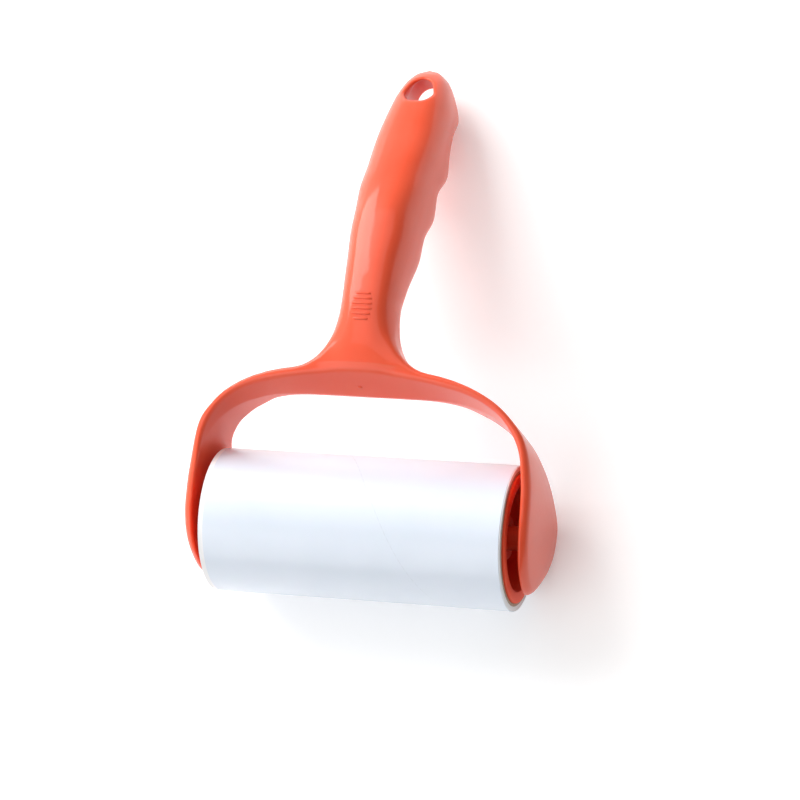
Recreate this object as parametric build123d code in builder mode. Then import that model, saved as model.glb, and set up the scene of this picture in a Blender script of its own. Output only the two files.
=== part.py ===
from build123d import *
from math import cos, hypot, radians, sin
import os

os.makedirs("parts", exist_ok=True)

# Lint roller: a two-armed plastic fork with a moulded grip carries a wide sticky-paper
# roll that turns between its arms. Lengths are in mm.
#
# Row frame: +X along the roll axis, +Y towards the end of the grip, +Z up. The roller
# lies thumb side up and touches the table with the roll and with the last finger bump.
#
# Mould frame, for the fork and grip: u runs from the roll axis towards the grip, w runs
# along the mould's opening direction, and both start on the roll axis.

# Roll
roll_length = 100.0
roll_radius = 23.3
sheet_thickness = 0.2
left_margin = 1.7
right_margin = 0.2
stack_inner_radius = 21.6
tube_inner_radius = 20.6

# Core that the paper tube slides over
barrel_wall = 1.5
barrel_length = 94.0
cap_lip_inner_radius = 16.8
cap_lip_proud = 0.7
cap_sleeve_length = 13.0
cap_web_thickness = 1.8
cap_lip_round = 0.4
hub_outer_radius = 7.0
hub_length = 9.0

# Pivot studs, moulded on the arms
stud_radius = 4.0
stud_clearance = 0.08
stud_reach = 11.2
stud_boss_radius = 6.5
stud_boss_height = 1.0
stud_tip_chamfer = 0.6

# Fork
arm_outer_x = 57.7
arm_thickness = 3.4

# Grip
cavity_half_width = 6.0
cavity_share = 0.18
corner_share = 0.8
parting_share = 0.30
rib_count = 6
rib_pitch = 1.65
rib_width = 0.8
rib_lengths = (5.2, 6.4, 7.0, 7.0, 6.4, 5.2)
rib_start_u = 58.4
rib_floor_w = 33.0
rib_tops = (38.9, 39.2, 39.4, 39.6, 39.7, 39.7)
pocket_floor_w = 6.5
pocket_centre_u = 147.4
pocket_length = 13.0
pocket_width = 11.6

# Placement: lean of the mould frame at rest, and the place of the roll axis
rest_lean = 4.8
axle_y = -67.15

lean = radians(rest_lean)
u_dir = Vector(0, cos(lean), -sin(lean))
w_dir = Vector(0, sin(lean), cos(lean))
axle = Vector(0, axle_y, roll_radius)

plan = Plane(origin=axle, x_dir=(1, 0, 0), z_dir=w_dir)
side = Plane(origin=axle, x_dir=u_dir, z_dir=(1, 0, 0))
roll_plane = Plane(origin=axle, x_dir=(0, 1, 0), z_dir=(1, 0, 0))


def at_x(x):
    """Plane across the roll axis at a given x, facing +X."""
    return roll_plane.offset(x)


def mould_point(u, w):
    """Point on the symmetry plane of the fork, in the row frame."""
    return axle + u_dir * u + w_dir * w


# Half outline of the fork seen along the mould direction, as (x, u)
fork_outer = [(0, 43.4), (12, 43.4), (22.7, 43.0), (29.4, 41.9), (36.4, 39.9), (43.9, 36.3),
              (49.7, 31.6), (54.5, 25.1), (57.1, 14.5), (arm_outer_x, 2.0), (57.3, -9.5),
              (55.9, -20.0)]
fork_inner = [(53.0, -20.0), (54.0, -9.5), (arm_outer_x - arm_thickness, 2.0), (53.8, 13.5),
              (52.2, 22.7), (47.8, 29.5), (41.9, 33.8), (34.8, 36.5), (28.4, 37.7), (21.5, 38.2),
              (12, 38.3), (0, 38.3)]

# Side outline of the fork, as (u, w): top edge, round the ear, and back under the arm
fork_side = [(60, 33.0), (52, 34.0), (46, 33.8), (41.5, 32.6), (36.2, 30.2), (29.6, 27.0),
             (22, 23.8), (14, 21.4), (6, 20.1), (-2, 18.4), (-9.6, 14.4), (-14.9, 8.0),
             (-17.8, 0.4), (-16.9, -5.6), (-12.8, -11.2), (-7.0, -17.0), (0.0, -21.1),
             (9.4, -21.8), (17.3, -15.2), (23.0, -6.8), (27.0, 1.4), (30.8, 6.2), (34.0, 9.6),
             (36.6, 13.2), (38.2, 17.0), (40.4, 19.6), (46, 22.2), (52, 23.0), (60, 24.0)]

# Web that carries the bar into the neck, half outline as (x, u)
neck_web = [(28, 41.2), (20.0, 43.8), (13.2, 48.2), (9.0, 54.0), (6.8, 60.0)]

# Grip sections as (front u, front w, back u, back w, half width)
grip_sections = [
    (45.0, 33.0, 45.0, 23.5, 8.0),
    (52.5, 36.6, 53.0, 21.0, 8.4),
    (62.0, 39.0, 65.0, 19.2, 8.8),
    (71.0, 39.1, 75.5, 15.2, 9.4),
    (79.5, 38.6, 87.0, 8.6, 10.2),
    (88.0, 37.4, 96.0, 8.0, 10.8),
    (96.5, 36.0, 104.5, 1.0, 11.2),
    (105.0, 33.1, 113.6, 1.9, 11.5),
    (113.5, 29.3, 121.8, -5.9, 11.7),
    (122.0, 25.0, 130.5, -4.8, 11.5),
    (130.0, 21.0, 137.5, -6.2, 11.2),
    (138.0, 17.4, 144.5, -11.8, 10.6),
    (144.5, 14.2, 150.6, -8.3, 9.2),
    (150.6, 10.2, 155.0, -3.6, 7.1),
    (154.8, 6.7, 157.0, 0.2, 4.5),
    (157.1, 3.9, 158.0, 1.9, 2.0),
]
shell_first, shell_last = 3, 10

# Hang hole, half outline as (x, u), cut along the mould direction
hang_hole = [(0.0, 142.9), (3.4, 143.1), (5.2, 144.8), (4.8, 147.8), (3.4, 151.4), (0.0, 153.2)]


def mirrored(points):
    """Closed outline from a half outline that starts and ends on x = 0."""
    return points + [(-x, u) for x, u in reversed(points[1:-1])]


def section_plane(section):
    front = mould_point(section[0], section[1])
    back = mould_point(section[2], section[3])
    across = (front - back).normalized()
    normal = Vector(1, 0, 0).cross(across)
    return Plane(origin=(front + back) * 0.5, x_dir=(1, 0, 0), z_dir=normal)


def section_face(section):
    """Rounded-box face of one grip section."""
    depth = hypot(section[0] - section[2], section[1] - section[3])
    with BuildSketch(section_plane(section)) as outline:
        RectangleRounded(2 * section[4], depth, corner_share * min(section[4], depth / 2))
    return outline.sketch.face()


def export(builder, name):
    builder.part.label = name
    export_step(builder.part, f"parts/{name}.step")


def share_point(section, share):
    """Point of the side view at a share of the way from the front line to the back line."""
    u = section[0] + share * (section[2] - section[0])
    w = section[1] + share * (section[3] - section[1])
    return (u, w)


# Fork: plan outline and side outline, each extruded and then intersected
with BuildPart() as fork:
    with BuildSketch(plan):
        with BuildLine():
            for sign in (1, -1):
                Spline([(sign * x, u) for x, u in fork_outer])
                Spline([(sign * x, u) for x, u in fork_inner])
                Line((sign * fork_outer[-1][0], fork_outer[-1][1]),
                     (sign * fork_inner[0][0], fork_inner[0][1]))
        make_face()
        with BuildLine():
            Spline([(x, u) for x, u in neck_web])
            Spline([(-x, u) for x, u in neck_web])
            Line(neck_web[-1], (-neck_web[-1][0], neck_web[-1][1]))
            Line(neck_web[0], (-neck_web[0][0], neck_web[0][1]))
        make_face()
    extrude(amount=70, both=True)
    with BuildSketch(side):
        with BuildLine():
            Spline(fork_side)
            Line(fork_side[-1], fork_side[0])
        make_face()
    extrude(amount=80, both=True, mode=Mode.INTERSECT)

# Outer form of the grip
with BuildPart() as grip:
    loft(sections=[section_face(section) for section in grip_sections])

# Hollow inside the grip
shelled = grip_sections[shell_first:shell_last + 1]
with BuildPart() as hollow:
    with BuildSketch(side):
        with BuildLine():
            upper = Spline([share_point(section, cavity_share) for section in shelled])
            lower = Spline([share_point(section, 1 - cavity_share) for section in shelled])
            Line(upper @ 0, lower @ 0)
            Line(upper @ 1, lower @ 1)
        make_face()
    extrude(amount=cavity_half_width, both=True)

# Region under the parting line, which belongs to the back shell
split = grip_sections[shell_first - 1:shell_last + 1]
parting = [share_point(section, parting_share) for section in split]
first_back = grip_sections[shell_first - 1][2:4]
last_back = grip_sections[shell_last][2:4]
with BuildPart() as back_region:
    with BuildSketch(side):
        with BuildLine():
            Spline(parting)
            Line(parting[-1], last_back)
            Line(last_back, (last_back[0] + 2, -40))
            Line((last_back[0] + 2, -40), (first_back[0] + 2, -40))
            Line((first_back[0] + 2, -40), first_back)
            Line(first_back, parting[0])
        make_face()
    extrude(amount=30, both=True)

# Thumb side of the grip, with its hang hole and the pocket under it
with BuildPart() as grip_front:
    add(grip.part)
    add(back_region.part, mode=Mode.SUBTRACT)
    add(hollow.part, mode=Mode.SUBTRACT)
    with BuildSketch(plan):
        with BuildLine():
            Spline(mirrored(hang_hole), periodic=True)
        make_face()
    extrude(amount=60, both=True, mode=Mode.SUBTRACT)
    with BuildSketch(plan.offset(pocket_floor_w)):
        with Locations((0, pocket_centre_u)):
            SlotOverall(pocket_length, pocket_width, rotation=90)
    extrude(amount=-60, mode=Mode.SUBTRACT)

# Pivot studs: a low boss and a chamfered stud, sunk into the arm at their root
studs = []
stud_root_x = arm_outer_x - 0.5 * arm_thickness
for sign in (1, -1):
    with BuildPart() as stud:
        with BuildSketch(at_x(sign * stud_root_x)):
            Circle(stud_radius)
        extrude(amount=-sign * (stud_reach + 0.5 * arm_thickness))
        tip_face = stud.faces().sort_by(Axis.X)[0 if sign > 0 else -1]
        chamfer(tip_face.edges(), stud_tip_chamfer)
        with BuildSketch(at_x(sign * stud_root_x)):
            Circle(stud_boss_radius)
        extrude(amount=-sign * (stud_boss_height + 0.5 * arm_thickness))
    studs.append(stud.part)

# Front moulding: fork, neck and thumb side of the grip in one piece
with BuildPart() as handle_frame:
    add(fork.part)
    add(grip_front.part)
    add(studs)
    for index in range(rib_count):
        with BuildSketch(plan.offset(rib_floor_w)):
            with Locations((0, rib_start_u + index * rib_pitch)):
                SlotOverall(rib_lengths[index], rib_width)
        extrude(amount=rib_tops[index] - rib_floor_w)
export(handle_frame, "handle_frame")

# Finger side of the grip
with BuildPart() as grip_back_shell:
    add(grip.part)
    add(back_region.part, mode=Mode.INTERSECT)
    add(hollow.part, mode=Mode.SUBTRACT)
export(grip_back_shell, "grip_back_shell")

# Barrel of the core
with BuildPart() as core_barrel:
    with BuildSketch(at_x(-barrel_length / 2)):
        Circle(tube_inner_radius)
        Circle(tube_inner_radius - barrel_wall, mode=Mode.SUBTRACT)
    extrude(amount=barrel_length)
export(core_barrel, "core_barrel")

# End caps of the core: lip ring, sleeve inside the barrel, web and hub
sleeve_radius = tube_inner_radius - barrel_wall
lip_x = roll_length / 2 + cap_lip_proud
web_x = lip_x - cap_sleeve_length + cap_web_thickness
for sign, name in ((1, "right_end_cap"), (-1, "left_end_cap")):
    with BuildPart() as end_cap:
        with BuildSketch(at_x(sign * lip_x)):
            Circle(tube_inner_radius)
            Circle(cap_lip_inner_radius, mode=Mode.SUBTRACT)
        extrude(amount=-sign * (lip_x - barrel_length / 2))
        fillet(end_cap.edges().filter_by(GeomType.CIRCLE).group_by(Axis.X)[-1 if sign > 0 else 0],
               cap_lip_round)
        with BuildSketch(at_x(sign * barrel_length / 2)):
            Circle(sleeve_radius)
            Circle(cap_lip_inner_radius, mode=Mode.SUBTRACT)
        extrude(amount=-sign * (barrel_length / 2 - web_x))
        with BuildSketch(at_x(sign * web_x)):
            Circle(sleeve_radius)
            Circle(stud_radius + stud_clearance, mode=Mode.SUBTRACT)
        extrude(amount=-sign * cap_web_thickness)
        with BuildSketch(at_x(sign * web_x)):
            Circle(hub_outer_radius)
            Circle(stud_radius + stud_clearance, mode=Mode.SUBTRACT)
        extrude(amount=sign * (hub_length - cap_web_thickness))
    export(end_cap, name)

# Paper tube, wound sheets, and the outermost sheet, which sits nearer the right end
with BuildPart() as card_tube:
    with BuildSketch(at_x(-roll_length / 2)):
        Circle(stack_inner_radius)
        Circle(tube_inner_radius, mode=Mode.SUBTRACT)
    extrude(amount=roll_length)
export(card_tube, "card_tube")

with BuildPart() as sheet_stack:
    with BuildSketch(at_x(-roll_length / 2)):
        Circle(roll_radius - sheet_thickness)
        Circle(stack_inner_radius, mode=Mode.SUBTRACT)
    extrude(amount=roll_length)
export(sheet_stack, "sheet_stack")

with BuildPart() as outer_sheet:
    with BuildSketch(at_x(-roll_length / 2 + left_margin)):
        Circle(roll_radius)
        Circle(roll_radius - sheet_thickness, mode=Mode.SUBTRACT)
    extrude(amount=roll_length - left_margin - right_margin)
export(outer_sheet, "outer_sheet")
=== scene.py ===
import math

import bpy
import numpy as np
from mathutils import Matrix, Vector


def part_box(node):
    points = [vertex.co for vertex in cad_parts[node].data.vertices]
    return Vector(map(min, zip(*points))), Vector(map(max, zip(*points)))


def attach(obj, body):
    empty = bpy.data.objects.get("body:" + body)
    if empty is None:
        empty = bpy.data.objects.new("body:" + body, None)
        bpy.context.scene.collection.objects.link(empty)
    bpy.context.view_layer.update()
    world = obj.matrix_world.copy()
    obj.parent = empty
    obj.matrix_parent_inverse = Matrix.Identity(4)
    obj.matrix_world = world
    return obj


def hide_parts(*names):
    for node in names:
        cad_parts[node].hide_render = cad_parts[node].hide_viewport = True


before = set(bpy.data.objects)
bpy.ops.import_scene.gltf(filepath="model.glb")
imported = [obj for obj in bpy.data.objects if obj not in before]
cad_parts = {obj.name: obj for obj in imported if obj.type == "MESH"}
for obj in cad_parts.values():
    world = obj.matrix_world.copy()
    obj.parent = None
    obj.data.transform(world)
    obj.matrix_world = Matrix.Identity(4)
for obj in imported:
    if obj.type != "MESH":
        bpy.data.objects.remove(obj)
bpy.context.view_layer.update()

# ---------------------------------------------------------------------------
# Frame: the mould frame (x, u, w) starts on the roll axis, leans by LEAN about X
# and is written in millimetres.
# ---------------------------------------------------------------------------
MM = 0.001
roll_low, roll_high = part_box("outer_sheet")
stack_low, stack_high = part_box("sheet_stack")
AXLE = (stack_low + stack_high) / 2
ROLL_RADIUS = (roll_high.z - roll_low.z) / 2 / MM
LEAN = math.radians(4.8)
U_DIR = np.array([0.0, math.cos(LEAN), -math.sin(LEAN)])
W_DIR = np.array([0.0, math.sin(LEAN), math.cos(LEAN)])
ORIGIN = np.array(AXLE)


def to_row(points):
    """Mould-frame points in mm to row-frame points in metres."""
    p = np.asarray(points, float)
    x_dir = np.array([1.0, 0.0, 0.0])
    return ORIGIN + MM * (p[:, :1] * x_dir + p[:, 1:2] * U_DIR + p[:, 2:3] * W_DIR)


# ---------------------------------------------------------------------------
# Curves and signed distances
# ---------------------------------------------------------------------------
def catmull_rom(p0, p1, p2, p3, steps):
    """Points from p1 up to p2, without p2."""
    return [0.5 * (2 * p1 + (p2 - p0) * s + (2 * p0 - 5 * p1 + 4 * p2 - p3) * s ** 2
                   + (3 * p1 - p0 - 3 * p2 + p3) * s ** 3)
            for s in np.arange(steps) / steps]


def smooth_curve(points, per_span=12):
    """Open Catmull-Rom curve through the points."""
    p = np.asarray(points, float)
    ends = np.vstack([2 * p[0] - p[1], p, 2 * p[-1] - p[-2]])
    out = []
    for i in range(1, len(ends) - 2):
        out += catmull_rom(*ends[i - 1:i + 3], per_span)
    return np.array(out + [p[-1]])


def smooth_loop(points, per_span=10):
    """Closed Catmull-Rom curve through the points."""
    p = np.asarray(points, float)
    n = len(p)
    out = []
    for i in range(n):
        out += catmull_rom(p[i - 1], p[i], p[(i + 1) % n], p[(i + 2) % n], per_span)
    return np.array(out)


def polygon_distance(a, b, polygon):
    """Signed distance from points (a, b) to a closed polygon, negative inside."""
    shape = np.broadcast(a, b).shape
    pa = np.broadcast_to(a, shape).ravel()
    pb = np.broadcast_to(b, shape).ravel()
    best = np.full(pa.shape, 1e9)
    inside = np.zeros(pa.shape, bool)
    q = np.roll(polygon, -1, axis=0)
    for (x0, y0), (x1, y1) in zip(polygon, q):
        dx, dy = x1 - x0, y1 - y0
        length = dx * dx + dy * dy
        if length < 1e-12:
            continue
        t = np.clip(((pa - x0) * dx + (pb - y0) * dy) / length, 0, 1)
        best = np.minimum(best, (pa - x0 - t * dx) ** 2 + (pb - y0 - t * dy) ** 2)
        if y0 != y1:
            crosses = (y0 > pb) != (y1 > pb)
            inside ^= crosses & (pa < x0 + (pb - y0) * dx / dy)
    d = np.sqrt(best)
    return np.where(inside, -d, d).reshape(shape)


class Table:
    """Values on an even grid over two variables, read back with bicubic interpolation."""

    def __init__(self, start, step, values):
        self.start, self.step, self.values = start, step, values

    def __call__(self, a, b):
        fa = (a - self.start[0]) / self.step
        fb = (b - self.start[1]) / self.step
        rows, cols = self.values.shape
        ia = np.clip(np.floor(fa).astype(int), 1, rows - 3)
        ib = np.clip(np.floor(fb).astype(int), 1, cols - 3)
        ta, tb = np.clip(fa - ia, 0, 1), np.clip(fb - ib, 0, 1)

        def weights(t):
            return (((-0.5 * t + 1) * t - 0.5) * t, (1.5 * t - 2.5) * t * t + 1,
                    ((-1.5 * t + 2) * t + 0.5) * t, (0.5 * t - 0.5) * t * t)

        wa, wb = weights(ta), weights(tb)
        total = 0.0
        for i in range(4):
            for j in range(4):
                total = total + wa[i] * wb[j] * self.values[ia + i - 1, ib + j - 1]
        return total


def outline_table(polygon, low, high, step):
    """Table of the signed distance to a polygon, over a box and a little round it."""
    a = np.arange(low[0] - 2 * step, high[0] + 3 * step, step)
    b = np.arange(low[1] - 2 * step, high[1] + 3 * step, step)
    return Table((a[0], b[0]), step, polygon_distance(a[:, None], b[None, :], polygon))


def round_max(a, b, r):
    """Intersection with an edge rounded to radius r."""
    pa, pb = np.maximum(a + r, 0), np.maximum(b + r, 0)
    return np.minimum(np.maximum(a + r, b + r), 0) + np.sqrt(pa * pa + pb * pb) - r


def round_min(a, b, r):
    """Union with a fillet of radius r."""
    return -round_max(-a, -b, r)


def ease(t):
    """Smooth step from 0 to 1."""
    t = np.clip(t, 0, 1)
    return t * t * (3 - 2 * t)


def soft_min(a, b, k):
    """Union with a soft blend of width k."""
    h = np.maximum(k - np.abs(a - b), 0) / k
    return np.minimum(a, b) - h * h * h * k / 6


# ---------------------------------------------------------------------------
# Handle outlines, in mm in the mould frame. The fork, the web and the hang hole are
# right halves in plan (x, u), and the side is (u, w).
# ---------------------------------------------------------------------------
ARM_OUTER_X = 57.7
ARM_THICKNESS = 3.4
FORK_OUTER = [(0, 43.4), (12, 43.4), (22.7, 43.0), (29.4, 41.9), (36.4, 39.9), (43.9, 36.3),
              (49.7, 31.6), (54.5, 25.1), (57.1, 14.5), (57.7, 2.0), (57.3, -9.5), (55.9, -20.0)]
FORK_INNER = [(53.0, -20.0), (54.0, -9.5), (54.3, 2.0), (53.8, 13.5), (52.2, 22.7),
              (47.8, 29.5), (41.9, 33.8), (34.8, 36.5), (28.4, 37.7), (21.5, 38.2),
              (12, 38.3), (0, 38.3)]
FORK_SIDE = [(63, 31.0), (56, 34.0), (49, 34.7), (41.5, 32.6), (36.2, 30.2), (29.6, 27.0),
             (22, 23.8), (14, 21.4), (6, 20.1), (-2, 18.4), (-9.6, 14.4), (-14.9, 8.0),
             (-17.8, 0.4), (-16.9, -5.6), (-12.8, -11.2), (-7.0, -17.0), (0.0, -21.1),
             (9.4, -21.8), (17.3, -15.2), (23.0, -6.8), (27.0, 1.4), (30.8, 6.2), (34.0, 9.6),
             (36.6, 13.2), (38.2, 17.0), (40.4, 19.6), (46, 21.4), (54, 22.6), (63, 26.0)]
NECK_WEB = [(31, 40.6), (20.5, 43.6), (13.7, 48.0), (9.4, 54.0), (7.2, 60.0), (6.0, 64.0)]
# Each row: (u, w) on the thumb side, (u, w) on the finger side, and half the width.
GRIP_SECTIONS = [
    (45.0, 33.6, 45.0, 23.0, 8.0),
    (52.5, 36.9, 53.0, 21.0, 8.4),
    (62.0, 39.1, 65.0, 19.2, 8.8),
    (71.0, 39.2, 75.5, 15.2, 9.4),
    (79.5, 38.7, 87.0, 8.6, 10.2),
    (88.0, 37.5, 96.0, 8.0, 10.8),
    (96.5, 36.1, 104.5, 1.0, 11.2),
    (105.0, 33.2, 113.6, 1.9, 11.5),
    (113.5, 29.4, 121.8, -5.9, 11.7),
    (122.0, 25.1, 130.5, -4.8, 11.5),
    (130.0, 21.1, 137.5, -6.2, 11.2),
    (138.0, 17.5, 144.5, -11.7, 10.6),
    (144.5, 14.1, 150.6, -8.3, 9.1),
    (150.6, 10.0, 155.0, -3.6, 6.9),
    (154.6, 6.6, 156.7, 0.2, 4.4),
    (156.5, 4.3, 157.5, 2.0, 2.3),
    (157.2, 3.2, 157.4, 2.8, 0.5),
]
SECTION_POWER = 2.7
HANG_HOLE = [(0.0, 142.4), (2.8, 142.8), (4.7, 145.2), (4.3, 147.9), (2.9, 151.0), (0.0, 152.5)]

# Seam: its share of the depth from the thumb side, and the sections it runs between.
PARTING_SHARE = 0.30
SHELL_FIRST, SHELL_LAST = 2, 10
SEAM_GAP = 0.01

# Blends and edge radii of the body.
WEB_BLEND, GRIP_BLEND = 2.5, 9.0
EDGE, EDGE_ADDED_AT_EAR, EDGE_ADDED_AT_NECK = 1.3, 1.2, 1.1
WINDOW_EDGE, HOLE_RIM = 1.0, 1.4
EAR_START, EAR_FADE = 30.0, 18.0
NECK_START, NECK_FADE = 42.0, 5.0
EAR_CROWN, EAR_CROWN_REACH = 0.7, 4.0

# Inner face of the bar: it leans by BAR_FACE_LEAN over BAR_FACE_RISE, less in the corners.
BAR_FACE_FOOT, BAR_FACE_RISE, BAR_FACE_LIMIT = 20.0, 13.5, 1.2
BAR_FACE_LEAN, CORNER_LEAN_CUT = 4.2, 2.4
CORNER_START, CORNER_FADE = 6.0, 28.0

# Pocket under the hang hole: a slot with round ends, and the place where the hole counts.
POCKET_FLOOR, POCKET_CENTRE = 6.5, 147.4
POCKET_HALF_LENGTH, POCKET_HALF_WIDTH = 6.5, 5.8
POCKET_FLOOR_EDGE, POCKET_RIM = 1.0, 1.2
HOLE_FROM_U, HOLE_WITHIN_X, NO_HOLE = 134, 14, 9.0

STUD_RADIUS, STUD_REACH, STUD_EDGE = 4.0, 11.2, 0.5
BOSS_RADIUS, BOSS_HEIGHT, BOSS_EDGE = 6.5, 1.0, 0.3
STUD_ROOT, STUD_FILLET = 1.5, 0.3

plan_outline = np.vstack([[(-6, 43.4)], smooth_curve(FORK_OUTER), [(55.9, -26), (-6, -26)]])
window_outline = np.vstack([[(-6, -26), (53.0, -26)], smooth_curve(FORK_INNER), [(-6, 38.3)]])
side_outline = np.vstack([smooth_curve(FORK_SIDE), [(64, 28.5)]])
web_outline = np.vstack([smooth_curve(NECK_WEB), [(0, 65.5), (-8, 65.5), (-8, 34.0), (31, 34.0)]])
hole_outline = smooth_loop(HANG_HOLE + [(-x, u) for x, u in reversed(HANG_HOLE[1:-1])])
sections = smooth_curve(GRIP_SECTIONS, 40)


def seam_points(picked):
    """Where the seam crosses each section, in the side view."""
    return np.array([(s[0] + PARTING_SHARE * (s[2] - s[0]), s[1] + PARTING_SHARE * (s[3] - s[1]))
                     for s in picked])


def finger_side_outline(past_end=2, below=-40):
    """Side-view area under the seam, drawn well past the grip's finger side."""
    first, last = GRIP_SECTIONS[SHELL_FIRST][2:4], GRIP_SECTIONS[SHELL_LAST][2:4]
    seam = smooth_curve(seam_points(GRIP_SECTIONS[SHELL_FIRST:SHELL_LAST + 1]))
    return np.vstack([seam, [last], [(last[0] + past_end, below)],
                      [(first[0] + past_end, below)], [first]])


def grip_coordinates(u, w, chunk=20000):
    """For side-view points: the place across the grip's depth, half the depth, half the
    width, and the distance past the grip's ends."""
    shape = np.broadcast(u, w).shape
    pu = np.broadcast_to(u, shape).ravel()
    pw = np.broadcast_to(w, shape).ravel()
    front, back = sections[:, 0:2], sections[:, 2:4]
    mid, across = (front + back) / 2, front - back
    depth = np.maximum(np.linalg.norm(across, axis=1), 1e-6)
    across = across / depth[:, None]
    along = np.stack([across[:, 1], -across[:, 0]], 1)
    offset, half, width, over = np.zeros((4, len(pu)))
    for start in range(0, len(pu), chunk):
        cut = slice(start, start + chunk)
        du = pu[cut, None] - mid[None, :, 0]
        dw = pw[cut, None] - mid[None, :, 1]
        ahead = du * along[None, :, 0] + dw * along[None, :, 1]
        passed = np.sum(ahead >= 0, axis=1)
        low = np.clip(passed - 1, 0, len(mid) - 2)
        rows = np.arange(len(low))
        a0, a1 = ahead[rows, low], ahead[rows, low + 1]
        t = np.clip(a0 / np.maximum(a0 - a1, 1e-9), 0, 1)
        m = mid[low] + t[:, None] * (mid[low + 1] - mid[low])
        c = across[low] + t[:, None] * (across[low + 1] - across[low])
        c = c / np.linalg.norm(c, axis=1)[:, None]
        mu, mw = pu[cut] - m[:, 0], pw[cut] - m[:, 1]
        offset[cut] = mu * c[:, 0] + mw * c[:, 1]
        half[cut] = (depth[low] + t * (depth[low + 1] - depth[low])) / 2
        width[cut] = sections[low, 4] + t * (sections[low + 1, 4] - sections[low, 4])
        over[cut] = np.abs(mu * c[:, 1] - mw * c[:, 0])
    return [v.reshape(shape) for v in (offset, half, width, over)]


SIDE_LOW, SIDE_HIGH, SIDE_STEP = (-24.0, -26.0), (164.0, 44.0), 0.5
PLAN_STEP, HOLE_STEP = 0.3, 0.2
column = np.arange(SIDE_LOW[0] - 1, SIDE_HIGH[0] + 2, SIDE_STEP)
level = np.arange(SIDE_LOW[1] - 1, SIDE_HIGH[1] + 2, SIDE_STEP)
grip_offset, grip_half, grip_width, grip_over = [
    Table((column[0], level[0]), SIDE_STEP, values)
    for values in grip_coordinates(column[:, None], level[None, :])]
side_table = outline_table(side_outline, SIDE_LOW, SIDE_HIGH, SIDE_STEP)
back_table = outline_table(finger_side_outline(), SIDE_LOW, SIDE_HIGH, SIDE_STEP)
plan_table = outline_table(plan_outline, (0, -24), (60, 70), PLAN_STEP)
window_table = outline_table(window_outline, (0, -28), (60, 70), PLAN_STEP)
web_table = outline_table(web_outline, (0, 34), (60, 70), PLAN_STEP)
hole_table = outline_table(hole_outline, (0, 136), (14, 158), HOLE_STEP)


def superellipse(x, y, half_x, half_y, power):
    """Distance-like value of a superellipse, negative inside."""
    ax, ay = np.abs(x) / half_x, np.abs(y) / half_y
    value = (ax ** power + ay ** power + 1e-12) ** (1 / power)
    return (value - 1) * np.minimum(half_x, half_y)


def pivot_stud(ax, radial, radius, reach, edge):
    """Round post on the inner face of an arm, rooted in it."""
    inner_x = ARM_OUTER_X - ARM_THICKNESS
    ends = np.maximum(inner_x - reach - ax, ax - inner_x - STUD_ROOT)
    return round_max(radial - radius, ends, edge)


def whole_handle(x, u, w):
    """Signed distance of the handle before it is split at its seam."""
    ax = np.abs(x)
    # fork, arms and ears
    side = side_table(u, w)
    ear = ease((EAR_START - u) / EAR_FADE)
    plan = soft_min(plan_table(ax, u), web_table(ax, u), WEB_BLEND)
    plan = plan + EAR_CROWN * ear * np.exp(np.minimum(side, 0) / EAR_CROWN_REACH)
    neck = ease((u - NECK_START) / NECK_FADE)
    body = round_max(plan, side, EDGE + EDGE_ADDED_AT_EAR * ear + EDGE_ADDED_AT_NECK * neck)
    # grip
    half_x = np.maximum(grip_width(u, w), 0.3)
    half_y = np.maximum(grip_half(u, w), 0.3)
    grip = superellipse(x, grip_offset(u, w), half_x, half_y, SECTION_POWER)
    body = soft_min(body, grip + grip_over(u, w), GRIP_BLEND)
    # window, with the bar's leaning face
    lean = BAR_FACE_LEAN - CORNER_LEAN_CUT * ease((ax - CORNER_START) / CORNER_FADE)
    lean = lean * np.clip((w - BAR_FACE_FOOT) / BAR_FACE_RISE, 0, BAR_FACE_LIMIT)
    body = round_max(body, -window_table(ax, u - lean), WINDOW_EDGE)
    # studs
    radial = np.sqrt(u * u + w * w)
    for size in ((BOSS_RADIUS, BOSS_HEIGHT, BOSS_EDGE), (STUD_RADIUS, STUD_REACH, STUD_EDGE)):
        body = round_min(body, pivot_stud(ax, radial, *size), STUD_FILLET)
    # hang hole, and the pocket under it
    near = (u > HOLE_FROM_U) & (ax < HOLE_WITHIN_X)
    hole = np.where(near, hole_table(ax, u), NO_HOLE)
    straight = POCKET_HALF_LENGTH - POCKET_HALF_WIDTH
    stretch = np.maximum(np.abs(u - POCKET_CENTRE) - straight, 0)
    pocket = np.sqrt(ax * ax + stretch * stretch) - POCKET_HALF_WIDTH
    pocket = round_max(pocket, w - POCKET_FLOOR, POCKET_FLOOR_EDGE)
    body = round_max(body, -hole, HOLE_RIM)
    return round_max(body, -pocket, POCKET_RIM)


THUMB_SIDE, FINGER_SIDE = -1, 1


def side_of_seam(side):
    """Signed distance of all that lies on one side of the seam."""
    return lambda x, u, w: SEAM_GAP + side * back_table(u, w)


def half_handle(side):
    """Signed distance of the handle's part on one side of the seam."""
    kept = side_of_seam(side)
    return lambda x, u, w: np.maximum(whole_handle(x, u, w), kept(x, u, w))


# ---------------------------------------------------------------------------
# Surface from a signed distance: surface nets, then each vertex is moved onto it
# ---------------------------------------------------------------------------
def gradient(function, p, step=0.05):
    """Slope of a function of (x, u, w) at each point."""
    g = np.empty_like(p)
    for axis in range(3):
        d = np.zeros(3)
        d[axis] = step
        hi, lo = p + d, p - d
        g[:, axis] = (function(*hi.T) - function(*lo.T)) / (2 * step)
    return g


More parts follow.
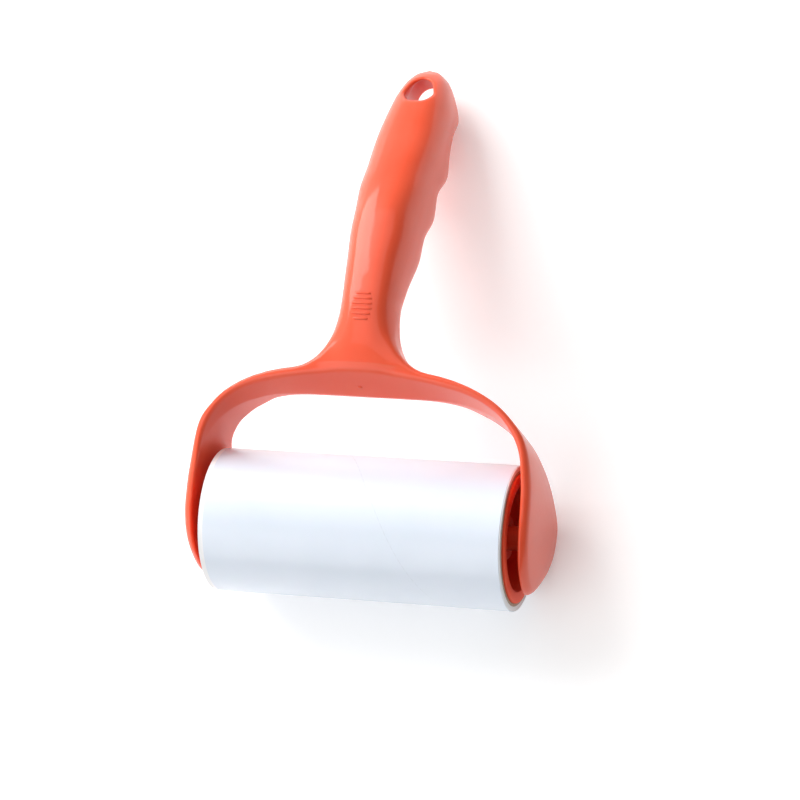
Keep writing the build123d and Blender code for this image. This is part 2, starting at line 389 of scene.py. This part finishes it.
def sampled(function, axes, coarse=4, reach=6.0):
    """Values on a grid, worked out in full only near the surface."""
    picked = [a[::coarse] for a in axes]
    rough = np.empty([len(a) for a in picked], np.float32)
    uu, ww = np.meshgrid(picked[1], picked[2], indexing="ij")
    for i, x in enumerate(picked[0]):
        rough[i] = function(np.full(uu.shape, x), uu, ww)
    index = [np.minimum((np.arange(len(a)) + coarse // 2) // coarse, len(p) - 1)
             for a, p in zip(axes, picked)]
    values = rough[np.ix_(*index)]
    near = np.abs(values) < reach
    for i, x in enumerate(axes[0]):
        j, k = np.nonzero(near[i])
        values[i, j, k] = function(np.full(len(j), x), axes[1][j], axes[2][k])
    return values


CELL_CORNERS = np.array([(0, 0, 0), (1, 0, 0), (0, 1, 0), (0, 0, 1),
                         (1, 1, 0), (1, 0, 1), (0, 1, 1), (1, 1, 1)])


def surface_nets(function, low, high, cell):
    """Mesh of quads: one vertex for each cell that the surface passes through."""
    axes = [np.arange(low[i], high[i] + cell, cell) for i in range(3)]
    values = sampled(function, axes)
    inside = values < 0
    counts = np.zeros([n - 1 for n in values.shape], np.int16)
    for i, j, k in CELL_CORNERS:
        counts += inside[i:i + counts.shape[0], j:j + counts.shape[1], k:k + counts.shape[2]]
    active = (counts > 0) & (counts < len(CELL_CORNERS))
    index = np.full(active.shape, -1, np.int64)
    index[active] = np.arange(active.sum())
    cells = np.argwhere(active)
    total = np.zeros((len(cells), 3))
    hits = np.zeros(len(cells))
    unit = np.eye(3, dtype=int)
    for axis in range(3):
        for corner in CELL_CORNERS:
            if corner[axis]:
                continue
            a = cells + corner
            b = a + unit[axis]
            va = values[a[:, 0], a[:, 1], a[:, 2]]
            vb = values[b[:, 0], b[:, 1], b[:, 2]]
            cross = (va < 0) != (vb < 0)
            t = np.where(cross, va / np.where(va == vb, 1, va - vb), 0)
            total[cross] += (a + t[:, None] * unit[axis])[cross]
            hits[cross] += 1
    origin = np.array([a[0] for a in axes])
    points = total / hits[:, None] * cell + origin
    faces = []
    for axis in range(3):
        one, two = unit[(axis + 1) % 3], unit[(axis + 2) % 3]
        lower = [slice(1, -1)] * 3
        upper = [slice(1, -1)] * 3
        lower[axis], upper[axis] = slice(0, -1), slice(1, None)
        a, b = inside[tuple(lower)], inside[tuple(upper)]
        for flip, mask in ((False, a & ~b), (True, ~a & b)):
            base = np.argwhere(mask) + 1 - unit[axis]
            ring = [base - one - two, base - two, base, base - one]
            quad = np.stack([index[r[:, 0], r[:, 1], r[:, 2]] for r in ring], 1)
            faces.append(quad[:, ::-1] if flip else quad)
    return points, np.vstack(faces), cells * cell + origin


def settle(function, points, rounds=4, reach=0.6):
    """Moves points onto the surface, each step no longer than reach."""
    p = points.copy()
    for _ in range(rounds):
        g = gradient(function, p)
        size = np.maximum(np.sum(g * g, axis=1), 0.05)
        d = function(*p.T)
        move = -(d / size)[:, None] * g
        length = np.linalg.norm(move, axis=1)
        move *= np.minimum(1, reach / np.maximum(length, 1e-9))[:, None]
        p += move
    return p


def seam_cells(start, side, cell):
    """Cells that both the handle's skin and the seam pass through."""
    crossed = []
    for function in (whole_handle, side_of_seam(side)):
        corners = [function(*(start + cell * corner).T) for corner in CELL_CORNERS]
        crossed.append((np.min(corners, axis=0) < 0) & (np.max(corners, axis=0) > 0))
    return crossed[0] & crossed[1]


def settle_on_seam(points, start, side, cell, rounds=8):
    """Vertices at the seam's edge are moved onto both the handle's skin and the seam."""
    edge = seam_cells(start, side, cell)
    p = points[edge]
    for _ in range(rounds):
        p = settle(whole_handle, p, 1)
        p = settle(side_of_seam(side), p, 1)
    points[edge] = p
    return edge


def relaxed(points, faces, fixed, rounds=3):
    """Evens out the mesh: each vertex moves towards the middle of its neighbours."""
    pairs = np.vstack([faces[:, [i, (i + 1) % 4]] for i in range(4)])
    ends = np.concatenate([pairs[:, 0], pairs[:, 1]])
    others = np.concatenate([pairs[:, 1], pairs[:, 0]])
    count = np.bincount(ends, minlength=len(points))[:, None]
    p = points.copy()
    for _ in range(rounds):
        total = np.stack([np.bincount(ends, p[others, k], len(p)) for k in range(3)], 1)
        p = np.where(fixed[:, None], p, 0.5 * (p + total / count))
    return p


def mesh_object(name, points, faces, smooth=True):
    """New object in the scene, from points in the row frame."""
    mesh = bpy.data.meshes.new(name)
    mesh.from_pydata([tuple(v) for v in points], [], [tuple(int(i) for i in f) for f in faces])
    mesh.validate()
    mesh.update()
    if smooth:
        mesh.polygons.foreach_set("use_smooth", np.ones(len(mesh.polygons), bool))
    obj = bpy.data.objects.new(name, mesh)
    bpy.context.scene.collection.objects.link(obj)
    return obj


CELL = 0.5


def handle_piece(name, side, low, high):
    """Part of the handle on one side of the seam, with a sharp edge along the seam."""
    function = half_handle(side)
    points, faces, start = surface_nets(function, low, high, CELL)
    points = settle(function, points, 2)
    edge = settle_on_seam(points, start, side, CELL)
    points = relaxed(points, faces, edge)
    points = np.where(edge[:, None], points, settle(function, points))
    piece = mesh_object(name, to_row(points), faces)
    ends = np.empty(2 * len(piece.data.edges), np.int64)
    piece.data.edges.foreach_get("vertices", ends)
    sharp = edge[ends.reshape(-1, 2)].all(axis=1)
    piece.data.attributes.new("sharp_edge", "BOOLEAN", "EDGE").data.foreach_set("value", sharp)
    return piece


handle = handle_piece("handle_moulding", THUMB_SIDE, (-59, -23, -26), (59, 161, 43))
back_shell = handle_piece("grip_back", FINGER_SIDE, (-14, 58, -16), (14, 142, 40))


def on_skin(distance, inside, outside, rounds=30):
    """Place between one inside the handle and one outside it where the skin lies."""
    for _ in range(rounds):
        middle = (inside + outside) / 2
        out = distance(middle) > 0
        inside, outside = np.where(out, inside, middle), np.where(out, middle, outside)
    return (inside + outside) / 2


# ---------------------------------------------------------------------------
# Thumb ribs: thin rounded bars laid on the thumb face
# ---------------------------------------------------------------------------
RIB_LENGTHS = (5.2, 6.4, 7.0, 7.0, 6.4, 5.2)
RIB_START, RIB_PITCH = 58.4, 1.65
RIB_HALF_WIDTH, RIB_HEIGHT, RIB_SUNK = 0.42, 0.55, 0.12


def rib_mesh(count_along=17, count_across=9):
    """All ribs in one mesh, each a half-round bar that swells from its ends."""
    points, faces = [], []
    for index, length in enumerate(RIB_LENGTHS):
        centre = RIB_START + index * RIB_PITCH
        base = len(points)
        for i in range(count_along):
            s = -1 + 2 * i / (count_along - 1)
            s = math.sin(s * math.pi / 2)
            swell = math.sqrt(max(1 - s ** 6, 0.0))
            for j in range(count_across):
                t = math.pi * j / (count_across - 1)
                u = centre + RIB_HALF_WIDTH * swell * math.cos(t)
                rise = RIB_HEIGHT * swell * math.sin(t) - RIB_SUNK
                points.append((s * length / 2, u, rise))
        for i in range(count_along - 1):
            for j in range(count_across - 1):
                a = base + i * count_across + j
                faces.append((a, a + 1, a + count_across + 1, a + count_across))
            a, b = base + i * count_across, base + (i + 1) * count_across
            faces.append((a, b, b + count_across - 1, a + count_across - 1))
    p = np.array(points)
    p[:, 2] += on_skin(lambda w: whole_handle(p[:, 0], p[:, 1], w), 20.0, 42.0)
    return p, faces


rib_points, rib_faces = rib_mesh()
thumb_ribs = mesh_object("thumb_ribs", to_row(rib_points), rib_faces)


# ---------------------------------------------------------------------------
# Gate mark: the stub left by the mould's gate on the inner face of the bar
# ---------------------------------------------------------------------------
GATE_X, GATE_W = -1.4, 24.8
GATE_RADIUS, GATE_HEIGHT, GATE_SUNK = 0.9, 0.35, 0.15


def gate_stub(rings=6, segments=24):
    """Low dome on the bar's inner face, its rim sunk into the face."""
    x, w = np.array([GATE_X]), np.array([GATE_W])
    u = on_skin(lambda u: whole_handle(x, u, w), 43.0, 36.0)
    foot = np.stack([x, u, w], 1)
    normal = gradient(whole_handle, foot)[0]
    normal /= np.linalg.norm(normal)
    side = np.array([1.0, 0.0, 0.0])
    other = np.cross(normal, side)
    points, faces = [foot[0] + normal * GATE_HEIGHT], []
    for i in range(1, rings + 1):
        t = i / rings
        rise = GATE_HEIGHT * math.sqrt(max(1 - t ** 3, 0)) - GATE_SUNK * t ** 4
        for k in range(segments):
            angle = 2 * math.pi * k / segments
            spread = side * math.cos(angle) + other * math.sin(angle)
            points.append(foot[0] + spread * (GATE_RADIUS * t) + normal * rise)
    for k in range(segments):
        faces.append((0, 1 + k, 1 + (k + 1) % segments))
        for i in range(rings - 1):
            a, b = 1 + i * segments, 1 + (i + 1) * segments
            m = (k + 1) % segments
            faces.append((a + k, b + k, b + m, a + m))
    faces.append(tuple(1 + (rings - 1) * segments + k for k in reversed(range(segments))))
    return points, faces


gate_points, gate_faces = gate_stub()
gate_mark = mesh_object("gate_mark", to_row(gate_points), gate_faces)


# ---------------------------------------------------------------------------
# Roll: pieces turned about the roll axis
# ---------------------------------------------------------------------------
def turned(name, profile, segments, smooth_angle=35):
    """Revolves a closed (x, radius) profile in mm about the roll axis."""
    count = len(profile)
    points, faces = [], []
    for i in range(segments):
        angle = 2 * math.pi * i / segments
        for x, radius in profile:
            points.append((x, radius * math.cos(angle), radius * math.sin(angle)))
    for i in range(segments):
        k = (i + 1) % segments
        for j in range(count):
            m = (j + 1) % count
            faces.append((i * count + j, i * count + m, k * count + m, k * count + j))
    obj = mesh_object(name, to_row(points), faces)
    sharpen(obj, smooth_angle)
    return obj


def mirrored(profile):
    """The other end of a profile, in the order that carries on round it."""
    return [(-x, radius) for x, radius in reversed(profile)]


def sharpen(obj, degrees):
    """Normals face outwards, and edges sharper than an angle are shaded sharp."""
    bpy.context.view_layer.objects.active = obj
    obj.select_set(True)
    bpy.ops.object.mode_set(mode="EDIT")
    bpy.ops.mesh.select_all(action="SELECT")
    bpy.ops.mesh.normals_make_consistent(inside=False)
    bpy.ops.object.mode_set(mode="OBJECT")
    bpy.ops.object.shade_smooth_by_angle(angle=math.radians(degrees))
    obj.select_set(False)


HALF_ROLL = 50.0
SHEET_LEFT, SHEET_RIGHT = -48.3, 49.6
SHEET_THICKNESS, SHEET_LIP, LAP_SHARE = 0.12, 0.06, 0.985
TEAR_X, TEAR_ANGLE, TEAR_ADVANCE = -1.0, 0.73, 12.8
STACK_RADIUS = ROLL_RADIUS - 0.2
STACK_INNER, TUBE_INNER, TUBE_CHAMFER = 21.6, 20.6, 0.15
STACK_INSET, LAYERS, LAYER_STEP = 0.12, 13, 0.035


def wound_profile():
    """Stack of wound sheets: the layers show as fine steps on both ends."""
    right = []
    for i in range(LAYERS):
        radius = STACK_INNER + (STACK_RADIUS - STACK_INNER) * i / (LAYERS - 1)
        step = LAYER_STEP * ((i * 7) % 5 - 2)
        right.append((HALF_ROLL - STACK_INSET + step, radius))
    return right + mirrored(right)


def tube_profile():
    """Paper tube with chamfered ends."""
    right = [(HALF_ROLL - TUBE_CHAMFER, STACK_INNER), (HALF_ROLL, STACK_INNER - TUBE_CHAMFER),
             (HALF_ROLL, TUBE_INNER + TUBE_CHAMFER), (HALF_ROLL - TUBE_CHAMFER, TUBE_INNER)]
    return mirrored(right) + right


def sheet_mesh(columns=240, rows=110):
    """Outermost sheet: one turn whose free edge runs in a steep spiral round the roll."""
    points, faces = [], []
    for layer in (0, 1):
        for i in range(columns + 1):
            share = i / columns
            for j in range(rows + 1):
                x = SHEET_LEFT + (SHEET_RIGHT - SHEET_LEFT) * j / rows
                angle = TEAR_ANGLE + LEAN + (x - TEAR_X) / TEAR_ADVANCE + share * 2 * math.pi
                lift = SHEET_LIP * (1 - min(share / LAP_SHARE, 1.0))
                radius = ROLL_RADIUS - (SHEET_THICKNESS if layer else 0.0) - lift
                points.append((x, radius * math.cos(angle), radius * math.sin(angle)))
    per = (columns + 1) * (rows + 1)
    for i in range(columns):
        for j in range(rows):
            a = i * (rows + 1) + j
            b = a + rows + 1
            faces.append((a, a + 1, b + 1, b))
            faces.append((per + a, per + b, per + b + 1, per + a + 1))
    for i in range(columns):
        a, b = i * (rows + 1), (i + 1) * (rows + 1)
        faces.append((a, b, per + b, per + a))
        faces.append((a + rows, per + a + rows, per + b + rows, b + rows))
    last = columns * (rows + 1)
    for j in range(rows):
        faces.append((j, per + j, per + j + 1, j + 1))
        faces.append((last + j, last + j + 1, per + last + j + 1, per + last + j))
    return points, faces


sheet_points, sheet_faces = sheet_mesh()
sheet = mesh_object("top_sheet", to_row(sheet_points), sheet_faces)
sharpen(sheet, 35)
stack = turned("wound_sheets", wound_profile(), segments=256, smooth_angle=20)
tube = turned("paper_tube", tube_profile(), segments=192, smooth_angle=50)


# ---------------------------------------------------------------------------
# Core: barrel, and a cap in each end with its lip, sleeve, web and hub
# ---------------------------------------------------------------------------
BARREL_HALF, BARREL_WALL = 47.0, 1.5
LIP_INNER, LIP_PROUD = 16.8, 0.7
CAP_LENGTH, WEB_THICKNESS = 13.0, 1.8
HUB_RADIUS, HUB_LENGTH = 7.0, 9.0
BORE_RADIUS = 4.08
SLEEVE_RADIUS = TUBE_INNER - BARREL_WALL


def rounded(corners, steps=5):
    """Closed profile through rows of (x, radius, rounding)."""
    out = []
    places = [np.array(row[:2], float) for row in corners]
    for i, p in enumerate(places):
        a, b = places[i - 1] - p, places[(i + 1) % len(places)] - p
        a, b = a / np.linalg.norm(a), b / np.linalg.norm(b)
        for k in range(steps):
            t = k / (steps - 1)
            out.append(tuple(p + corners[i][2] * ((1 - t) ** 2 * a + t ** 2 * b)))
    return out


def barrel_profile(rounding=0.2):
    return rounded([(-BARREL_HALF, TUBE_INNER, rounding), (BARREL_HALF, TUBE_INNER, rounding),
                    (BARREL_HALF, SLEEVE_RADIUS, rounding),
                    (-BARREL_HALF, SLEEVE_RADIUS, rounding)], 3)


def cap_profile():
    """Right cap: lip, recess, web and hub from the outside in, then the sleeve."""
    lip_x = HALF_ROLL + LIP_PROUD
    web_x = lip_x - CAP_LENGTH + WEB_THICKNESS
    hub_x = web_x + HUB_LENGTH - WEB_THICKNESS
    back_x = web_x - WEB_THICKNESS
    return rounded([
        (BARREL_HALF, TUBE_INNER, 0.1), (lip_x, TUBE_INNER, 0.5), (lip_x, LIP_INNER, 0.5),
        (web_x, LIP_INNER, 0.6), (web_x, HUB_RADIUS, 0.6), (hub_x, HUB_RADIUS, 0.4),
        (hub_x, BORE_RADIUS, 0.3), (back_x, BORE_RADIUS, 0.2), (back_x, SLEEVE_RADIUS, 0.2),
        (BARREL_HALF, SLEEVE_RADIUS, 0.05)])


def cap(name, end):
    profile = [(end * x, radius) for x, radius in cap_profile()]
    return turned(name, profile, segments=160)


barrel = turned("core_tube", barrel_profile(), segments=128)
right_cap = cap("cap_right", 1)
left_cap = cap("cap_left", -1)


# ---------------------------------------------------------------------------
# Materials
# ---------------------------------------------------------------------------
def srgb(r, g, b):
    """Linear colour from 0-255 screen values."""
    def linear(v):
        v = v / 255
        return v / 12.92 if v <= 0.04045 else ((v + 0.055) / 1.055) ** 2.4
    return (linear(r), linear(g), linear(b), 1.0)


class Nodes:
    """Short way to build a node material."""

    def __init__(self, name):
        self.material = bpy.data.materials.new(name)
        self.material.use_nodes = True
        self.tree = self.material.node_tree
        self.shader = self.tree.nodes["Principled BSDF"]
        coordinates = self.tree.nodes.new("ShaderNodeTexCoord")
        self.place = coordinates.outputs["Object"]

    def feed(self, socket, value):
        """Links a socket to another, or sets it to a constant."""
        if isinstance(value, bpy.types.NodeSocket):
            self.tree.links.new(value, socket)
        else:
            socket.default_value = value

    def node(self, kind, **inputs):
        """New node, fed by the names of its sockets; an underscore stands for a space."""
        node = self.tree.nodes.new(kind)
        for key, value in inputs.items():
            self.feed(node.inputs[key.replace("_", " ")], value)
        return node

    def surface(self, **inputs):
        """Feeds the shader's sockets by name."""
        for key, value in inputs.items():
            self.feed(self.shader.inputs[key.replace("_", " ")], value)

    def noise(self, scale, detail=3.0, stretch=(1, 1, 1)):
        mapping = self.node("ShaderNodeMapping", Vector=self.place, Scale=stretch)
        node = self.node("ShaderNodeTexNoise", Scale=scale, Detail=detail,
                         Vector=mapping.outputs["Vector"])
        return node.outputs["Fac"]

    def spread(self, value, low, high, low_to=0.0, high_to=1.0):
        """Maps low..high to low_to..high_to, clamped."""
        node = self.node("ShaderNodeMapRange", Value=value, From_Min=low, From_Max=high,
                         To_Min=low_to, To_Max=high_to)
        return node.outputs["Result"]

    def mix(self, factor, a, b):
        node = self.tree.nodes.new("ShaderNodeMix")
        node.data_type = "RGBA"
        self.feed(node.inputs["Factor"], factor)
        self.feed(node.inputs["A"], a)
        self.feed(node.inputs["B"], b)
        return node.outputs["Result"]

    def math(self, operation, a, b=0.0):
        node = self.tree.nodes.new("ShaderNodeMath")
        node.operation = operation
        self.feed(node.inputs[0], a)
        self.feed(node.inputs[1], b)
        return node.outputs["Value"]

    def from_axle(self):
        """Sockets for x along the roll, and for y and z from its axis."""
        split = self.node("ShaderNodeSeparateXYZ", Vector=self.place)
        return (split.outputs["X"], self.math("SUBTRACT", split.outputs["Y"], float(AXLE.y)),
                self.math("SUBTRACT", split.outputs["Z"], float(AXLE.z)))

    def bump(self, height, strength, distance):
        node = self.node("ShaderNodeBump", Height=height, Strength=strength, Distance=distance)
        self.surface(Normal=node.outputs["Normal"])


def moulded_plastic(name, body, deep, worn, gloss, coat):
    """Injection-moulded plastic with flow marks, faint paler clouds and a fine skin."""
    n = Nodes(name)
    flow = n.spread(n.noise(18, 2, (1, 0.35, 1)), 0.35, 0.7)
    cloud = n.spread(n.noise(55, 4), 0.35, 0.7)
    fine = n.spread(n.noise(1400, 2), 0.3, 0.7)
    colour = n.mix(n.math("MULTIPLY", flow, 0.55), body, deep)
    colour = n.mix(n.math("MULTIPLY", cloud, 0.1), colour, worn)
    rough = n.math("ADD", n.math("MULTIPLY", cloud, 0.05), gloss)
    rough = n.math("ADD", rough, n.math("MULTIPLY", fine, 0.02))
    n.surface(Base_Color=colour, Roughness=rough, Coat_Weight=coat, Coat_Roughness=0.08,
              Specular_IOR_Level=0.35, IOR=1.4, Subsurface_Weight=0.12,
              Subsurface_Radius=(1.0, 0.35, 0.2), Subsurface_Scale=0.0015)
    n.bump(n.noise(75, 2), 0.05, 0.00012)
    return n.material


def tear_marks(n, dashes_per_metre=5200.0):
    """Dashed line along the spiral of the sheet's free edge: 1 on it and 0 off it."""
    x, y, z = n.from_axle()
    turn = n.math("DIVIDE", n.math("SUBTRACT", x, TEAR_X * MM), TEAR_ADVANCE * MM)
    off = n.math("SUBTRACT", n.math("SUBTRACT", n.math("ARCTAN2", z, y), turn), TEAR_ANGLE)
    off = n.math("ABSOLUTE", n.math("SINE", n.math("MULTIPLY", off, 0.5)))
    line = n.spread(off, 0.004, 0.009, 1.0, 0.0)
    dash = n.math("SINE", n.math("MULTIPLY", x, dashes_per_metre))
    return n.math("MULTIPLY", line, n.spread(dash, -0.6, 0.2, 0.35, 1.0))


def face_paper():
    """Smooth tacky paper: faint fibre, soft waviness and a row of slanted tear marks."""
    n = Nodes("face_paper")
    cloud = n.spread(n.noise(40, 4), 0.3, 0.7)
    colour = n.mix(cloud, srgb(224, 230, 241), srgb(219, 226, 237))
    mark = tear_marks(n)
    colour = n.mix(n.math("MULTIPLY", mark, 0.3), colour, srgb(196, 200, 208))
    rough = n.spread(n.noise(160, 4), 0.3, 0.7, 0.28, 0.42)
    n.surface(Base_Color=colour, Roughness=rough, Coat_Weight=0.35, Coat_Roughness=0.22,
              Subsurface_Weight=0.05, Subsurface_Scale=0.001)
    fibre = n.noise(900, 5, (1, 2, 2))
    wave = n.noise(70, 2, (0.6, 1, 1))
    height = n.math("ADD", n.math("MULTIPLY", fibre, 0.2), wave)
    n.bump(n.math("SUBTRACT", height, n.math("MULTIPLY", mark, 0.8)), 0.25, 0.0002)
    return n.material


def layered_paper(line_pitch=0.00012):
    """Cut edges of the wound sheets: fine concentric lines."""
    n = Nodes("wound_paper")
    _, y, z = n.from_axle()
    squares = n.math("ADD", n.math("MULTIPLY", y, y), n.math("MULTIPLY", z, z))
    turns = n.math("MULTIPLY", n.math("SQRT", squares), 2 * math.pi / line_pitch)
    rings = n.math("SINE", turns)
    colour = n.mix(n.spread(rings, -1, 1), srgb(250, 250, 252), srgb(232, 230, 230))
    n.surface(Base_Color=colour, Roughness=n.spread(n.noise(600, 3), 0.3, 0.7, 0.6, 0.8))
    n.bump(rings, 0.3, 0.00004)
    return n.material


def card():
    """Grey-brown board of the paper tube."""
    n = Nodes("card")
    fibre = n.spread(n.noise(1400, 6, (1, 2, 2)), 0.3, 0.7)
    colour = n.mix(fibre, srgb(196, 172, 150), srgb(150, 128, 110))
    n.surface(Base_Color=colour, Roughness=n.spread(n.noise(300, 3), 0.3, 0.7, 0.75, 0.9))
    n.bump(fibre, 0.4, 0.00008)
    return n.material


coral = moulded_plastic("coral_plastic", srgb(239, 88, 54), srgb(234, 80, 48),
                        srgb(250, 128, 98), gloss=0.36, coat=0.45)
# Painted light: the core's coral is a brighter copy of the handle's coral (250 red against 239),
# so the shaded recesses inside the end caps read lighter. Its rougher gloss with no coat is the
# core's own finish.
core_coral_painted_bright = moulded_plastic("core_plastic", srgb(250, 88, 54), srgb(246, 80, 48),
                             srgb(246, 120, 90), gloss=0.55, coat=0.0)
paper = face_paper()
edge_paper = layered_paper()
board = card()

finish = [
    (handle, "fork", "frame_plastic", coral, ("handle_frame",)),
    (thumb_ribs, "fork", "frame_plastic", coral, ()),
    (gate_mark, "fork", "frame_plastic", coral, ()),
    (back_shell, "fork", "grip_plastic", coral, ("grip_back_shell",)),
    (sheet, "roller", "face_paper", paper, ("outer_sheet",)),
    (stack, "roller", "wound_paper", edge_paper, ("sheet_stack",)),
    (tube, "roller", "card", board, ("card_tube",)),
    (barrel, "roller", "core_plastic", core_coral_painted_bright, ("core_barrel",)),
    (right_cap, "roller", "cap_plastic", core_coral_painted_bright, ("right_end_cap",)),
    (left_cap, "roller", "cap_plastic", core_coral_painted_bright, ("left_end_cap",)),
]
for piece, body, slot_name, material, nodes in finish:
    piece.data.materials.clear()
    piece.data.materials.append(material)
    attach(piece, body)
    if nodes:
        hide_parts(*nodes)


# ---------------------------------------------------------------------------
# Floor, light and camera
# ---------------------------------------------------------------------------
FLOOR_HALF = 3.0
floor = mesh_object("floor", [(-FLOOR_HALF, -FLOOR_HALF, 0.0), (FLOOR_HALF, -FLOOR_HALF, 0.0),
                              (FLOOR_HALF, FLOOR_HALF, 0.0), (-FLOOR_HALF, FLOOR_HALF, 0.0)],
                    [(0, 1, 2, 3)], smooth=False)
sweep = Nodes("floor")
sweep.surface(Base_Color=sweep.mix(sweep.noise(3, 2), srgb(250, 250, 250), srgb(246, 246, 246)),
              Roughness=0.85, Emission_Color=(1, 1, 1, 1), Emission_Strength=0.22)
floor.data.materials.append(sweep.material)

LIT_POINT = Vector((0.0, 0.015, 0.045))
# Each row: name, direction from the grip, direction of its width, distance, size, watts.
LIGHTS = [
    ("key", (-0.627, 0.557, 0.545), (0.936, 0.325, 0.13), 1.4, (1.0, 1.05), 19.5),
    ("top", (0.05, 0.35, 0.93), (1, 0, 0), 1.4, (1.6, 1.6), 8.5),
    ("front", (-0.5, -0.68, 0.55), (1, 0, 0), 1.4, (1.4, 1.2), 9.0),
]


def placed(name, data, right, up_and_back, place):
    """Object in the scene at a place, from its axes in world space."""
    obj = bpy.data.objects.new(name, data)
    bpy.context.scene.collection.objects.link(obj)
    turn = Matrix((right, *up_and_back)).transposed()
    obj.matrix_world = Matrix.Translation(place) @ turn.to_4x4()
    return obj


for name, towards, across, distance, size, power in LIGHTS:
    softbox = bpy.data.lights.new(name, "AREA")
    softbox.shape = "RECTANGLE"
    softbox.size, softbox.size_y = size
    softbox.energy = power
    back = Vector(towards).normalized()
    right = (Vector(across) - back * back.dot(Vector(across))).normalized()
    placed(name, softbox, right, (back.cross(right), back), LIT_POINT + back * distance)

# The surroundings are bright on the left (-X) and dim from the middle to the right.
SKY = {"From Min": -1.0, "From Max": 0.1, "To Min": 0.85, "To Max": 0.12}
world = bpy.data.worlds.new("studio")
bpy.context.scene.world = world
world.use_nodes = True
sky = world.node_tree
direction = sky.nodes.new("ShaderNodeTexCoord")
axes = sky.nodes.new("ShaderNodeSeparateXYZ")
brightness = sky.nodes.new("ShaderNodeMapRange")
background = sky.nodes["Background"]
sky.links.new(direction.outputs["Generated"], axes.inputs["Vector"])
sky.links.new(axes.outputs["X"], brightness.inputs["Value"])
sky.links.new(brightness.outputs["Result"], background.inputs["Strength"])
for key, value in SKY.items():
    brightness.inputs[key].default_value = value
background.inputs["Color"].default_value = (1, 1, 1, 1)

CAMERA_PLACE = Vector((0.299385, -0.212136, 0.962776))
CAMERA_RIGHT = Vector((0.954677, 0.110189, -0.276498)).normalized()
CAMERA_UP = Vector((-0.051541, 0.976117, 0.211043)).normalized()
CAMERA_SENSOR, CAMERA_LENS, CAMERA_CLIP = 36.0, 139.275, (0.01, 20.0)
camera_data = bpy.data.cameras.new("camera")
camera_data.sensor_width, camera_data.lens = CAMERA_SENSOR, CAMERA_LENS
camera_data.clip_start, camera_data.clip_end = CAMERA_CLIP
bpy.context.scene.camera = placed("camera", camera_data, CAMERA_RIGHT,
                                  (CAMERA_UP, CAMERA_RIGHT.cross(CAMERA_UP)), CAMERA_PLACE)
bpy.context.scene.view_settings.view_transform = "Standard"
